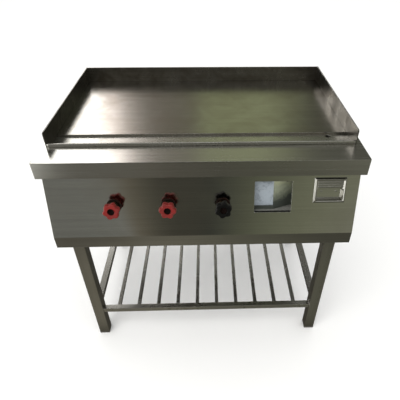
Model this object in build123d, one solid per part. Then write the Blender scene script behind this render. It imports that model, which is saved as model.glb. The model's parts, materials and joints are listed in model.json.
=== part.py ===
from build123d import *
from math import cos, radians, sin, tan
import os

os.makedirs("parts", exist_ok=True)

# Flat top gas griddle on an open tube stand, in millimetres. X runs along the front, Y to the
# back and Z up. Sizes are first laid out from the front face of the worktop's apron, and at the
# end every piece is moved so that the origin is on the floor, in the middle of the footprint.

# Worktop: a folded sheet tray turned upside down
worktop_width = 914.0
worktop_depth = 610.0
worktop_height = 864.0
apron_height = 50.0
apron_return = 8.0
sheet = 1.5

# Body below the worktop: a slanted front, two sides and a back, all inside the apron's return
body_drop = 277.0
body_side_gap = 4.5
body_back_gap = 2.5
panel_gap = 2.7
panel_slant = 14.11
panel_slope_length = 192.1
panel_flange = 15.0

# Griddle unit: plate, guards and trough welded into one tray that drops into the worktop
unit_front = 84.5
unit_inset = 3.0
unit_gap = 0.5
guard_sheet = 3.0
guard_rise = 44.0
plate_thickness = 16.0
plate_drop = 7.0
trough_sheet = 2.0
trough_drop = 6.5
trough_run = 78.2
lip_thickness = 6.0
lip_rise = 9.5
lip_round = 2.5
drain_radius = 8.0
drain_from_plate = 13.0
drain_from_drawer = 18.0
spout_wall = 2.0
spout_gap = 5.0

# Stand
tube = 38.0
tube_wall = 1.5
leg_setback = 57.0
leg_top_gap = 19.0
plug_height = 8.0
plug_insert = 22.0
plug_play = 0.3
plug_chamfer = 1.0
shelf_top = 156.5
rail = 20.0
rail_wall = 1.2
rail_inset = 2.0
side_rail = 25.0
bar = 13.0
bar_count = 10
bar_from_leg = 59.7

# Rails that carry the griddle unit and the burners
support = 25.0
support_wall = 2.0
support_setback = 3.0
burner_rail_width = 16.5
burner_rail_thickness = 2.0

# Gas train
valve_count = 3
valve_from_pipe = 74.5
valve_from_window = 90.1
valve_down_slope = 91.5
valve_radius = 13.0
valve_depth = 46.0
neck_radius = 9.0
valve_hole_radius = 21.0
nut_across_flats = 26.0
nut_thickness = 7.0
gland_radius = 11.0
gland_length = 15.0
boss_radius = 8.0
boss_depth = 22.0
nozzle_radius = 6.0
nozzle_inset = 6.0
pipe_radius = 10.5
pipe_wall = 2.5
pipe_play = 0.5
pipe_down_slope = 124.1
pipe_from_leg = 73.5
pipe_overhang = 35.0
pipe_nut_radius = 17.0
pipe_nut_thickness = 8.0
inlet_reach = 32.0
inlet_end_radius = 13.2
inlet_end_length = 24.0

# Spindles and knobs
spindle_radius = 4.0
spindle_play = 0.05
spindle_depth = 14.0
knob_stand_off = 20.0
knob_hub_radius = 13.0
knob_hub_length = 6.0
knob_thickness = 18.0
knob_core_radius = 20.5
lobe_count = 6
lobe_radius = 7.0
lobe_centre = 18.5
lobe_blend = 3.0
knob_round = 2.5
knob_cup_radius = 9.0
knob_cup_depth = 5.0
knob_cap_radius = 10.0
knob_cap_height = 2.5
knob_rest_turns = (12.0, -6.0, 20.0)

# Burners: two pipe burners across the body and a pilot tube
burner_radius = 19.0
burner_wall = 2.0
burner_end_gap = 5.5
burner_gap = 55.0
front_burner_setback = 66.0
rear_burner_setback = 123.5
port_radius = 1.75
port_count = 24
port_margin = 45.0
mixer_radius = 14.0
mixer_wall = 1.5
riser_radius = 11.0
mixer_start = 66.0
mixer_end_wall = 2.0
mixer_hole_play = 0.3
air_slot_start = 8.0
air_slot_length = 16.0
air_slot_height = 12.0
shutter_play = 0.06
shutter_wall = 1.5
shutter_margin = 4.0
shutter_tab = 12.0
pilot_radius = 4.0
pilot_wall = 1.5
pilot_bend = 14.0
pilot_from_burner = 60.0
pilot_from_window = 55.0
pilot_above_burner = 2.0

# Lighting window and what stands behind it
window_width = 107.0
window_from_drawer = 108.0
window_start = 23.1
window_end = 119.6
window_corner = 1.5
shield_sheet = 1.2
shield_lap_left = 17.0
shield_lap_right = 16.0
shield_fold_inset = 46.0
shield_near = 28.0
shield_far = 60.0
shield_start = 8.1
ledge_below_window = 2.5
ledge_start = 13.0
board_lap = 9.0
board_width = 67.0
board_start = 14.1
board_foot_gap = 15.0
board_thickness = 5.0

# Grease drawer
tray_width = 78.0
tray_below_apron = 24.0
tray_height = 56.0
tray_front = 18.0
tray_burner_gap = 16.0
tray_wall = 1.2
drawer_play = 0.5
drawer_lift = 0.3
drawer_leg_gap = 2.5
opening_top_play = 2.0
front_cover_side = 7.0
front_cover_top = 9.0
front_cover_bottom = 7.8
front_stand_off = 0.3
front_thickness = 4.2
front_bevel = 6.8
dish_side_gap = 1.6
dish_below_top = 34.0
dish_length = 30.0
dish_depth = 11.0
dish_wall = 1.2
rib_count = 4
rib_below_top = 9.5
rib_pitch = 5.5
rib_width = 2.2
rib_rise = 1.4
rivet_radius = 2.6
rivet_rise = 1.2
rivet_inset = 14.0
rivet_drop = 10.0
guide_sheet = 1.5
guide_leg = 16.0
guide_height = 26.0
guide_overrun = 2.0

# Flue slots in the back panel
flue_count = 4
flue_margin = 43.0
flue_bridge = 50.0
flue_height = 16.0
flue_end_flat = 0.8
flue_drop = 60.0

# Heights that follow from the sizes above
worktop_under = worktop_height - sheet
apron_bottom = worktop_height - apron_height
body_bottom = worktop_height - body_drop
plate_top = worktop_height - plate_drop
plate_bottom = plate_top - plate_thickness
guard_top = worktop_height + guard_rise
lip_top = worktop_height + lip_rise
trough_floor = plate_top - trough_drop
leg_top = plate_bottom - support - leg_top_gap
burner_height = plate_bottom - burner_gap - burner_radius
pilot_height = burner_height + pilot_above_burner
tray_top = apron_bottom - tray_below_apron
tray_bottom = tray_top - tray_height

# Places across the front, from the right leg to the left one
body_inset = sheet + apron_return
half_body = worktop_width / 2 - body_inset - body_side_gap
side_inner = half_body - sheet
half_unit = half_body - unit_inset
unit_inner = half_unit - guard_sheet
leg_inner = side_inner - tube
bar_pitch = 2 * (leg_inner - bar_from_leg) / (bar_count - 1)
guide_outer = leg_inner - drawer_leg_gap
drawer_x = guide_outer - guide_sheet - drawer_play - tray_width / 2
drain_x = drawer_x + drain_from_drawer
window_right = drawer_x - window_from_drawer
window_left = window_right - window_width
shield_left = window_left - shield_lap_left
shield_fold = window_right - shield_fold_inset
shield_right = window_right + shield_lap_right
board_left = window_left - board_lap
board_right = board_left + board_width
pilot_x = window_left + pilot_from_window
pipe_feed_x = pipe_from_leg - leg_inner
valve_first_x = pipe_feed_x + valve_from_pipe
valve_last_x = window_left - valve_from_window
valve_pitch = (valve_last_x - valve_first_x) / (valve_count - 1)
burner_half_length = side_inner - burner_end_gap
port_pitch = 2 * (burner_half_length - port_margin) / (port_count - 1)
flue_pitch = 2 * (half_body - flue_margin) / flue_count
flue_length = flue_pitch - flue_bridge

# Places from front to back
panel_setback = body_inset + panel_gap
body_back = worktop_depth - body_inset - body_back_gap
back_inner = body_back - sheet
plate_front = unit_front + lip_thickness + trough_run
plate_back = back_inner - guard_sheet
drain_y = plate_front - drain_from_plate
support_front = plate_front + support_setback
support_back = plate_back - support_setback - support
front_burner = plate_front + front_burner_setback
rear_burner = plate_back - rear_burner_setback
burner_places = (rear_burner, front_burner)
pilot_back = front_burner - pilot_from_burner
tray_back = front_burner - burner_radius - tray_burner_gap

# Places on the slanted panel, measured down its slope and square to it
slant = radians(panel_slant)
panel_frame = Plane(
    origin=(0, panel_setback, apron_bottom),
    x_dir=(1, 0, 0),
    z_dir=(0, -cos(slant), sin(slant)),
)
panel_axis = Axis(panel_frame.origin, panel_frame.z_dir)
nozzle_depth = valve_depth - nozzle_inset
nozzle_y = panel_setback - valve_down_slope * sin(slant) + nozzle_depth * cos(slant)
mixer_z = apron_bottom - valve_down_slope * cos(slant) - nozzle_depth * sin(slant)
ledge_place = window_end + ledge_below_window
board_end = ledge_place - board_foot_gap
opening_start = (apron_bottom - tray_top - opening_top_play) / cos(slant)
opening_end = (apron_bottom - tray_bottom + drawer_lift) / cos(slant)
front_start = opening_start - front_cover_top
front_length = opening_end + front_cover_bottom - front_start
front_width = tray_width + 2 * front_cover_side
dish_width = tray_width - 2 * (tray_wall + dish_side_gap + dish_wall)
dish_start = front_start + dish_below_top
rib_start = front_start + rib_below_top

# Blocks that are cut back to the panel begin this far in front of the apron
cut_ahead = -200.0


def block(x0, x1, y0, y1, z0, z1):
    """A box between two corners."""
    middle = Pos((x0 + x1) / 2, (y0 + y1) / 2, (z0 + z1) / 2)
    return middle * Box(x1 - x0, y1 - y0, z1 - z0)


def slope_block(x0, x1, start, end, depth0, depth1):
    """A box square to the slanted panel: down its slope from start to end, and from depth0 to
    depth1 behind its outer face."""
    middle = Pos((x0 + x1) / 2, -(start + end) / 2, -(depth0 + depth1) / 2)
    return panel_frame.location * middle * Box(x1 - x0, end - start, depth1 - depth0)


def slope_rod(x, down_slope, depth0, depth1, radius):
    """A round bar square to the slanted panel."""
    middle = Pos(x, -down_slope, -(depth0 + depth1) / 2)
    return panel_frame.location * middle * Cylinder(radius, depth1 - depth0)


def rod_x(x0, x1, y, z, radius):
    return Pos((x0 + x1) / 2, y, z) * Rot(0, 90, 0) * Cylinder(radius, x1 - x0)


def rod_y(x, y0, y1, z, radius):
    return Pos(x, (y0 + y1) / 2, z) * Rot(90, 0, 0) * Cylinder(radius, y1 - y0)


def rod_z(x, y, z0, z1, radius):
    return Pos(x, y, (z0 + z1) / 2) * Cylinder(radius, z1 - z0)


def prism_x(points, x0, x1):
    """A prism along X over an outline of (y, z) points."""
    face = Plane.YZ.offset(x0) * make_face(Polyline(*points, close=True))
    return extrude(face, x1 - x0)


def slope_point(down_slope, depth):
    """The (y, z) of a point behind the slanted panel's outer face."""
    y = panel_setback - down_slope * sin(slant) + depth * cos(slant)
    z = apron_bottom - down_slope * cos(slant) - depth * sin(slant)
    return y, z


def slope_at_height(z, depth):
    """The (y, z) on the plane at one depth behind the panel, at a height."""
    down_slope = (apron_bottom - depth * sin(slant) - z) / cos(slant)
    return slope_point(down_slope, depth)


def worktop():
    half_width = worktop_width / 2
    half_opening = half_width - sheet - apron_return
    top = block(-half_width, half_width, 0, worktop_depth, apron_bottom, worktop_height)
    top -= block(
        sheet - half_width,
        half_width - sheet,
        sheet,
        worktop_depth - sheet,
        apron_bottom + sheet,
        worktop_under,
    )
    top -= block(
        -half_opening,
        half_opening,
        sheet + apron_return,
        worktop_depth - sheet - apron_return,
        apron_bottom - sheet,
        worktop_under,
    )
    top -= block(
        -half_unit - unit_gap,
        half_unit + unit_gap,
        unit_front - unit_gap,
        back_inner + unit_gap,
        apron_bottom,
        worktop_height + sheet,
    )
    corners = top.edges().filter_by(Axis.Z).filter_by(
        lambda edge: abs(abs(edge.center().X) - half_width) < sheet / 2
    )
    return fillet(corners, sheet)


def griddle_plate():
    return block(-unit_inner, unit_inner, plate_front, plate_back, plate_bottom, plate_top)


def side_guard(side):
    inner = side * unit_inner
    outer = side * half_unit
    guard = block(
        min(inner, outer),
        max(inner, outer),
        unit_front,
        back_inner,
        plate_bottom,
        guard_top,
    )
    front_corner = guard.edges().filter_by(Axis.X).sort_by(
        lambda edge: edge.center().Z - edge.center().Y
    )[-1]
    return fillet(front_corner, lip_thickness)


def back_guard():
    return block(-unit_inner, unit_inner, plate_back, back_inner, plate_bottom, guard_top)


def grease_trough():
    floor = block(
        -unit_inner,
        unit_inner,
        unit_front,
        plate_front,
        trough_floor - trough_sheet,
        trough_floor,
    )
    lip = block(
        -unit_inner,
        unit_inner,
        unit_front,
        unit_front + lip_thickness,
        trough_floor,
        lip_top,
    )
    lip = fillet(lip.edges().filter_by(Axis.X).group_by(Axis.Z)[-1], lip_round)
    drain = rod_z(drain_x, drain_y, trough_floor - 2 * trough_sheet, lip_top, drain_radius)
    return floor + lip - drain


def drain_spout():
    """A pipe from the trough to just above the drawer, which slides out under it."""
    top = trough_floor - trough_sheet
    bottom = tray_top + spout_gap
    outer = rod_z(drain_x, drain_y, bottom, top, drain_radius + spout_wall)
    return outer - rod_z(drain_x, drain_y, bottom, top, drain_radius)


def control_panel():
    """One folded sheet: a slanted face, an upright band under the crease and a flange."""
    band_y = panel_setback - panel_slope_length * sin(slant)
    inner_crease = panel_slope_length - sheet * tan(slant / 2)
    outline = [
        slope_at_height(worktop_under, 0),
        slope_point(panel_slope_length, 0),
        (band_y, body_bottom),
        (band_y + panel_flange, body_bottom),
        (band_y + panel_flange, body_bottom + sheet),
        (band_y + sheet, body_bottom + sheet),
        slope_point(inner_crease, sheet),
        slope_at_height(worktop_under, sheet),
    ]
    panel = prism_x(outline, -half_body, half_body)
    window = slope_block(
        window_left, window_right, window_start, window_end, -sheet, 2 * sheet
    )
    window = fillet(window.edges().filter_by(panel_axis), window_corner)
    panel -= window
    opening_half = tray_width / 2 + drawer_play
    panel -= slope_block(
        drawer_x - opening_half,
        drawer_x + opening_half,
        opening_start,
        opening_end,
        -sheet,
        2 * sheet,
    )
    for number in range(valve_count):
        x = valve_first_x + number * valve_pitch
        panel -= slope_rod(x, valve_down_slope, -sheet, 2 * sheet, valve_hole_radius)
    return panel


def side_panel(side):
    """Fills the space between the front panel's inner face and the back panel."""
    band_y = panel_setback - panel_slope_length * sin(slant) + sheet
    inner_crease = panel_slope_length - sheet * tan(slant / 2)
    outline = [
        slope_at_height(worktop_under, sheet),
        slope_point(inner_crease, sheet),
        (band_y, body_bottom + sheet),
        (back_inner, body_bottom + sheet),
        (back_inner, worktop_under),
    ]
    faces = (side * side_inner, side * half_body)
    return prism_x(outline, min(faces), max(faces))


def back_panel():
    panel = block(-half_body, half_body, back_inner, body_back, body_bottom, worktop_under)
    slot_z = worktop_under - flue_drop
    for number in range(flue_count):
        slot_x = (number - (flue_count - 1) / 2) * flue_pitch
        slot = block(
            slot_x - flue_length / 2,
            slot_x + flue_length / 2,
            back_inner - sheet,
            body_back + sheet,
            slot_z - flue_height,
            slot_z,
        )
        panel -= fillet(slot.edges().filter_by(Axis.Y), (flue_height - flue_end_flat) / 2)
    pipe_z = slope_point(pipe_down_slope, boss_depth)[1]
    return panel - rod_y(
        pipe_feed_x, back_inner - sheet, body_back + sheet, pipe_z, pipe_radius + pipe_play
    )


def square_tube(x0, x1, y0, y1, z0, z1, wall, along):
    """A square tube whose bore runs the length named by along."""
    inset = {"x": (0, wall, wall), "y": (wall, 0, wall), "z": (wall, wall, 0)}[along]
    bore = block(
        x0 + inset[0],
        x1 - inset[0],
        y0 + inset[1],
        y1 - inset[1],
        z0 + inset[2],
        z1 - inset[2],
    )
    outer = block(x0, x1, y0, y1, z0, z1)
    edges = outer.edges().filter_by({"x": Axis.X, "y": Axis.Y, "z": Axis.Z}[along])
    return fillet(edges, wall) - bore


def leg_corner(side, end):
    """The low x and low y of the leg at one corner of the stand."""
    x = leg_inner if side > 0 else -side_inner
    y = leg_setback if end < 0 else back_inner - tube
    return x, y


def leg(side, end):
    x, y = leg_corner(side, end)
    return square_tube(x, x + tube, y, y + tube, plug_height, leg_top, tube_wall, "z")


def leg_plug(side, end):
    x, y = leg_corner(side, end)
    foot = block(x, x + tube, y, y + tube, 0, plug_height)
    foot = fillet(foot.edges().filter_by(Axis.Z), tube_wall)
    foot = chamfer(foot.edges().group_by(Axis.Z)[0], plug_chamfer)
    inset = tube_wall + plug_play
    return foot + block(
        x + inset,
        x + tube - inset,
        y + inset,
        y + tube - inset,
        plug_height,
        plug_height + plug_insert,
    )


def shelf_cross_rail(end):
    y = leg_setback + rail_inset if end < 0 else back_inner - rail_inset - rail
    return square_tube(
        -leg_inner, leg_inner, y, y + rail, shelf_top - rail, shelf_top, rail_wall, "x"
    )


def shelf_side_rail(side):
    """A rail flush with the outer faces of its two legs."""
    x = side_inner - side_rail if side > 0 else -side_inner
    return square_tube(
        x,
        x + side_rail,
        leg_setback + tube,
        back_inner - tube,
        shelf_top - rail,
        shelf_top,
        rail_wall,
        "y",
    )


def shelf_bar(number):
    x = (number - (bar_count - 1) / 2) * bar_pitch
    return square_tube(
        x - bar / 2,
        x + bar / 2,
        leg_setback + rail_inset + rail,
        back_inner - rail_inset - rail,
        shelf_top - bar,
        shelf_top,
        rail_wall,
        "y",
    )


def support_rail(y):
    bottom = plate_bottom - support
    return square_tube(
        -side_inner, side_inner, y, y + support, bottom, plate_bottom, support_wall, "x"
    )


def burner_rail(side):
    """A strip on the side panel that the burners' ends lie on."""
    inner = side * (side_inner - burner_rail_width)
    outer = side * side_inner
    top = burner_height - burner_radius
    return block(
        min(inner, outer),
        max(inner, outer),
        front_burner - 2 * burner_radius,
        rear_burner + 2 * burner_radius,
        top - burner_rail_thickness,
        top,
    )


def burner(number):
    """A pipe across the body with ports on top, and its mixing tube from the valve's nozzle."""
    place = burner_places[number]
    feed_x = valve_first_x + number * valve_pitch
    reach = burner_half_length
    bore_end = reach - burner_wall
    body = rod_x(-reach, reach, place, burner_height, burner_radius)
    body += rod_y(feed_x, mixer_start, place + mixer_radius, mixer_z, mixer_radius)
    body += rod_z(feed_x, place, mixer_z, burner_height, riser_radius)
    inner = mixer_radius - mixer_wall
    body -= rod_x(-bore_end, bore_end, place, burner_height, burner_radius - burner_wall)
    body -= rod_y(feed_x, mixer_start + mixer_end_wall, place + inner, mixer_z, inner)
    body -= rod_z(feed_x, place, mixer_z, burner_height, riser_radius - mixer_wall)
    body -= rod_y(
        feed_x,
        mixer_start - mixer_end_wall,
        mixer_start + 2 * mixer_end_wall,
        mixer_z,
        nozzle_radius + mixer_hole_play,
    )
    slot_y = mixer_start + air_slot_start
    body -= block(
        feed_x - 2 * mixer_radius,
        feed_x + 2 * mixer_radius,
        slot_y,
        slot_y + air_slot_length,
        mixer_z - air_slot_height / 2,
        mixer_z + air_slot_height / 2,
    )
    for port in range(port_count):
        port_x = (port - (port_count - 1) / 2) * port_pitch
        body -= rod_z(
            port_x, place, burner_height, burner_height + 2 * burner_radius, port_radius
        )
    return body


def air_shutter(number):
    """A sleeve that turns on the mixing tube and closes its two air slots."""
    x = valve_first_x + number * valve_pitch
    inner = mixer_radius + shutter_play
    outer = inner + shutter_wall
    slot_y = mixer_start + air_slot_start
    start = slot_y - shutter_margin
    end = slot_y + air_slot_length + shutter_margin
    sleeve = rod_y(x, start, end, mixer_z, outer)
    sleeve += block(
        x - shutter_wall / 2,
        x + shutter_wall / 2,
        start,
        end,
        mixer_z + inner,
        mixer_z + outer + shutter_tab,
    )
    sleeve -= rod_y(x, start, end, mixer_z, inner)
    return sleeve - block(
        x - 2 * outer,
        x + 2 * outer,
        slot_y,
        slot_y + air_slot_length,
        mixer_z - air_slot_height / 2,
        mixer_z + air_slot_height / 2,
    )


def gas_manifold():
    """A pipe behind the panel that feeds the valves, with its run back to the inlet."""
    y, z = slope_point(pipe_down_slope, boss_depth)
    last_x = valve_last_x + pipe_overhang
    pipe_bore = pipe_radius - pipe_wall
    inlet_end = body_back + inlet_reach
    pipe = rod_x(pipe_feed_x, last_x, y, z, pipe_radius)
    pipe += rod_y(pipe_feed_x, y, inlet_end, z, pipe_radius)
    pipe += Pos(pipe_feed_x, y, z) * Sphere(pipe_radius)
    end_start = inlet_end - inlet_end_length
    pipe += rod_y(pipe_feed_x, end_start, inlet_end, z, inlet_end_radius)
    pipe += rod_y(pipe_feed_x, back_inner - pipe_nut_thickness, back_inner, z, pipe_nut_radius)
    pipe -= rod_x(pipe_feed_x, last_x - pipe_wall, y, z, pipe_bore)
    pipe -= rod_y(pipe_feed_x, y, inlet_end, z, pipe_bore)
    return pipe - Pos(pipe_feed_x, y, z) * Sphere(pipe_bore)


def valve(number):
    """A valve held by the gas pipe, with its nut and gland through a wide hole in the panel."""
    x = valve_first_x + number * valve_pitch
    y, z = slope_point(pipe_down_slope, boss_depth)
    nut = extrude(RegularPolygon(nut_across_flats / 2, 6, major_radius=False), nut_thickness)
    body = slope_rod(x, valve_down_slope, sheet, valve_depth, valve_radius)
    body += slope_rod(x, valve_down_slope, -nut_thickness, sheet, neck_radius)
    body += panel_frame.location * Pos(x, -valve_down_slope, 0) * nut
    body += slope_rod(x, valve_down_slope, -gland_length, 0, gland_radius)
    boss_length = pipe_down_slope - valve_down_slope
    boss = Pos(x, -(valve_down_slope + boss_length / 2), -boss_depth)
    body += panel_frame.location * boss * Rot(90, 0, 0) * Cylinder(boss_radius, boss_length)
    body += rod_y(x, nozzle_y, mixer_start + mixer_end_wall, mixer_z, nozzle_radius)
    body -= rod_x(x - 2 * boss_radius, x + 2 * boss_radius, y, z, pipe_radius)
    bore = spindle_radius + spindle_play
    return body - slope_rod(x, valve_down_slope, -gland_length, spindle_depth + sheet, bore)


def pilot_tube():
    x = valve_last_x
    start = mixer_start + mixer_end_wall
    route = FilletPolyline(
        (x, start, mixer_z),
        (x, pilot_back, mixer_z),
        (pilot_x, pilot_back, mixer_z),
        (pilot_x, pilot_back, pilot_height),
        radius=pilot_bend,
    )
    end = Plane(origin=(x, start, mixer_z), z_dir=(0, 1, 0))
    ring = Circle(pilot_radius) - Circle(pilot_radius - pilot_wall)
    return sweep(end * ring, path=route)


def spindle(number):
    x = valve_first_x + number * valve_pitch
    outer_end = -knob_stand_off - knob_hub_length
    return slope_rod(x, valve_down_slope, outer_end, spindle_depth, spindle_radius)


def knob(number, capped):
    """A star knob: a round core with lobes about it, on a hub that takes the spindle."""
    x = valve_first_x + number * valve_pitch
    outline = Circle(knob_core_radius)
    for lobe in range(lobe_count):
        lobe_place = Rot(0, 0, lobe * 360 / lobe_count) * Pos(lobe_centre, 0, 0)
        outline += lobe_place * Rot(0, 0, 180) * Circle(lobe_radius)
    outline = fillet(outline.vertices(), lobe_blend)
    star = extrude(outline, knob_thickness / 2, both=True)
    star = fillet(star.edges().group_by(Axis.Z)[-1], knob_round)
    star = fillet(star.edges().group_by(Axis.Z)[0], knob_round)
    top = knob_thickness / 2
    if capped:
        star += Pos(0, 0, top) * Cylinder(knob_cap_radius, 2 * knob_cap_height)
    else:
        star -= Pos(0, 0, top) * Cylinder(knob_cup_radius, 2 * knob_cup_depth)
    hub_z = -top - knob_hub_length / 2
    star += Pos(0, 0, hub_z) * Cylinder(knob_hub_radius, knob_hub_length)
    bore_z = -top - knob_hub_length / 2
    star -= Pos(0, 0, bore_z) * Cylinder(spindle_radius, knob_hub_length)
    middle = knob_stand_off + knob_hub_length + knob_thickness / 2
    place = Pos(x, -valve_down_slope, middle) * Rot(0, 0, knob_rest_turns[number])
    return panel_frame.location * place * star


def window_shield():
    """A bent sheet behind the window: a flange to the panel, a near half and a far half."""
    outline = [
        (shield_left, sheet),
        (shield_left, shield_near + shield_sheet),
        (shield_fold, shield_near + shield_sheet),
        (shield_right, shield_far + shield_sheet),
        (shield_right, shield_far),
        (shield_fold, shield_near),
        (shield_left + shield_sheet, shield_near),
        (shield_left + shield_sheet, sheet),
    ]
    points = [(x, -shield_start, -depth) for x, depth in outline]
    face = make_face(Polyline(*points, close=True))
    sheet_length = ledge_place - shield_start
    return panel_frame.location * extrude(face, sheet_length, dir=(0, -1, 0))


def window_ledge():
    """The sill under the window, cut to the shield's bend, with a dark gap in front of it."""
    outline = [
        (shield_left, ledge_start),
        (shield_left, shield_near + shield_sheet),
        (shield_fold, shield_near + shield_sheet),
        (shield_right, shield_far + shield_sheet),
        (shield_right, ledge_start),
    ]
    points = [(x, -ledge_place, -depth) for x, depth in outline]
    face = make_face(Polyline(*points, close=True))
    return panel_frame.location * extrude(face, shield_sheet, dir=(0, -1, 0))


def window_board():
    near = shield_near - board_thickness
    return slope_block(board_left, board_right, board_start, board_end, near, shield_near)


def in_front_of(depth):
    """Everything on the cook's side of the plane at one depth behind the panel's face."""
    reach = worktop_width
    return slope_block(-reach, reach, -reach, reach, depth - reach, depth)


def drawer_tray():
    """A tray with an upright wall behind the finger dish and two cheeks that hold its front."""
    left = drawer_x - tray_width / 2
    right = drawer_x + tray_width / 2
    tray = block(left, right, cut_ahead, tray_back, tray_bottom, tray_top)
    tray -= block(
        left + tray_wall,
        right - tray_wall,
        tray_front + tray_wall,
        tray_back - tray_wall,
        tray_bottom + tray_wall,
        tray_top + tray_wall,
    )
    tray -= block(
        left + tray_wall,
        right - tray_wall,
        cut_ahead,
        tray_front,
        tray_bottom - tray_wall,
        tray_top + tray_wall,
    )
    return tray - in_front_of(-front_stand_off)


def drawer_front():
    """A bevelled plate over the opening, with a finger dish, two rivets and a ribbed hood."""
    middle = front_start + front_length / 2
    face_depth = front_stand_off + front_thickness
    base = Pos(drawer_x, -middle, front_stand_off) * Rectangle(front_width, front_length)
    crown = Pos(drawer_x, -middle, face_depth) * Rectangle(
        front_width - 2 * front_bevel, front_length - 2 * front_bevel
    )
    front = panel_frame.location * loft([base, crown])
    half_dish = dish_width / 2
    dish_end = dish_start + dish_length
    front += slope_block(
        drawer_x - half_dish - dish_wall,
        drawer_x + half_dish + dish_wall,
        dish_start - dish_wall,
        dish_end + dish_wall,
        -front_stand_off,
        dish_depth,
    )
    front -= slope_block(
        drawer_x - half_dish,
        drawer_x + half_dish,
        dish_start,
        dish_end,
        -2 * face_depth,
        dish_depth - dish_wall,
    )
    for number in range(rib_count):
        start = rib_start + number * rib_pitch
        front += slope_block(
            drawer_x - half_dish,
            drawer_x + half_dish,
            start,
            start + rib_width,
            -face_depth - rib_rise,
            -face_depth + rib_rise,
        )
    for side in (-1, 1):
        front += slope_rod(
            drawer_x + side * (half_dish - rivet_inset),
            dish_start + rivet_drop,
            dish_depth - dish_wall - rivet_rise,
            dish_depth - dish_wall,
            rivet_radius,
        )
    return front


def drawer_guide(side):
    """An angle under one edge of the tray, hung at the back from the front support rail."""
    web_inner = drawer_x + side * (tray_width / 2 + drawer_play)
    web_outer = web_inner + side * guide_sheet
    leg_end = web_outer - side * guide_leg
    bottom = tray_bottom - drawer_play - guide_sheet
    web = sorted((web_inner, web_outer))
    foot = sorted((web_outer, leg_end))
    end = tray_back + guide_overrun
    guide = block(*web, cut_ahead, end, bottom, bottom + guide_height)
    guide += block(*foot, cut_ahead, end, bottom, bottom + guide_sheet)
    guide += block(*web, support_front, support_front + support, bottom, plate_bottom - support)
    return guide - in_front_of(sheet)


pieces = {
    "worktop": worktop(),
    "griddle_plate": griddle_plate(),
    "back_guard": back_guard(),
    "left_guard": side_guard(-1),
    "right_guard": side_guard(1),
    "grease_trough": grease_trough(),
    "drain_spout": drain_spout(),
    "control_panel": control_panel(),
    "left_side_panel": side_panel(-1),
    "right_side_panel": side_panel(1),
    "back_panel": back_panel(),
    "front_support_rail": support_rail(support_front),
    "rear_support_rail": support_rail(support_back),
    "left_burner_rail": burner_rail(-1),
    "right_burner_rail": burner_rail(1),
    "front_shelf_rail": shelf_cross_rail(-1),
    "rear_shelf_rail": shelf_cross_rail(1),
    "left_shelf_rail": shelf_side_rail(-1),
    "right_shelf_rail": shelf_side_rail(1),
    "gas_manifold": gas_manifold(),
    "pilot_tube": pilot_tube(),
    "window_shield": window_shield(),
    "window_ledge": window_ledge(),
    "window_board": window_board(),
    "drawer_tray": drawer_tray(),
    "drawer_front": drawer_front(),
    "left_drawer_guide": drawer_guide(-1),
    "right_drawer_guide": drawer_guide(1),
}
for end, end_name in ((-1, "front"), (1, "rear")):
    for side, side_name in ((-1, "left"), (1, "right")):
        pieces[f"{end_name}_{side_name}_leg"] = leg(side, end)
        pieces[f"{end_name}_{side_name}_plug"] = leg_plug(side, end)
for number in range(bar_count):
    pieces[f"shelf_bar_{number + 1}"] = shelf_bar(number)
for number in range(len(burner_places)):
    pieces[f"burner_{number + 1}"] = burner(number)
    pieces[f"air_shutter_{number + 1}"] = air_shutter(number)
for number in range(valve_count):
    pieces[f"valve_{number + 1}"] = valve(number)
    pieces[f"spindle_{number + 1}"] = spindle(number)
    pieces[f"knob_{number + 1}"] = knob(number, capped=number == valve_count - 1)

boxes = [piece.bounding_box() for piece in pieces.values()]
front_most = min(box.min.Y for box in boxes)
rear_most = max(box.max.Y for box in boxes)
to_origin = Pos(0, -(front_most + rear_most) / 2, 0)
for name, piece in pieces.items():
    export_step(to_origin * piece, f"parts/{name}.step")
print(len(pieces), "pieces; footprint from", front_most, "to", rear_most)
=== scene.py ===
import json
import math

import bpy
import numpy as np
from mathutils import Matrix, Vector


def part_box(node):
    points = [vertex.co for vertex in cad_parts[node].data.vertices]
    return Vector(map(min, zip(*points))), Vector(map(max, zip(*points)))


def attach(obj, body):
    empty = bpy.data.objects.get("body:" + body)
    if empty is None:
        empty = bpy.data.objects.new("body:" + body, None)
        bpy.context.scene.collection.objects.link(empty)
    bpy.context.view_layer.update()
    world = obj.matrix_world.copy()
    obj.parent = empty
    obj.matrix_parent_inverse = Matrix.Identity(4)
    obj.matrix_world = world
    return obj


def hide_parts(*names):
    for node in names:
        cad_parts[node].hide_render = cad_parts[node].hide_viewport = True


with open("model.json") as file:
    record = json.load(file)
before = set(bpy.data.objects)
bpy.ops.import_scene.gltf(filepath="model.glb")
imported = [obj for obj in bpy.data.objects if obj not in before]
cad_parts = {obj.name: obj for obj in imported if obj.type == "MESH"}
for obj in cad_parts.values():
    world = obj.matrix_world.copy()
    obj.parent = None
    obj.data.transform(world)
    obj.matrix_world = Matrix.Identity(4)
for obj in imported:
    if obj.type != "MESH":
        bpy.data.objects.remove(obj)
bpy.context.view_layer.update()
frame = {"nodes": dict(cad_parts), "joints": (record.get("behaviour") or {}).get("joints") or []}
nodes = frame["nodes"]
joints = {joint["name"]: joint for joint in frame["joints"]}
print("frame loaded:", len(nodes), "nodes")


def addNode(tree, kind, settings=None, inputs=None):
    node = tree.nodes.new(kind)
    for name, value in (settings or {}).items():
        setattr(node, name, value)
    for name, value in (inputs or {}).items():
        node.inputs[name].default_value = value
    return node


def mathNode(tree, operation, first, second=None, third=None):
    # one Math node; each input is a socket or a number
    node = addNode(tree, "ShaderNodeMath", {"operation": operation})
    for index, value in enumerate((first, second, third)):
        if value is None:
            continue
        if isinstance(value, (int, float)):
            node.inputs[index].default_value = value
        else:
            tree.links.new(value, node.inputs[index])
    return node.outputs[0]


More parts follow.
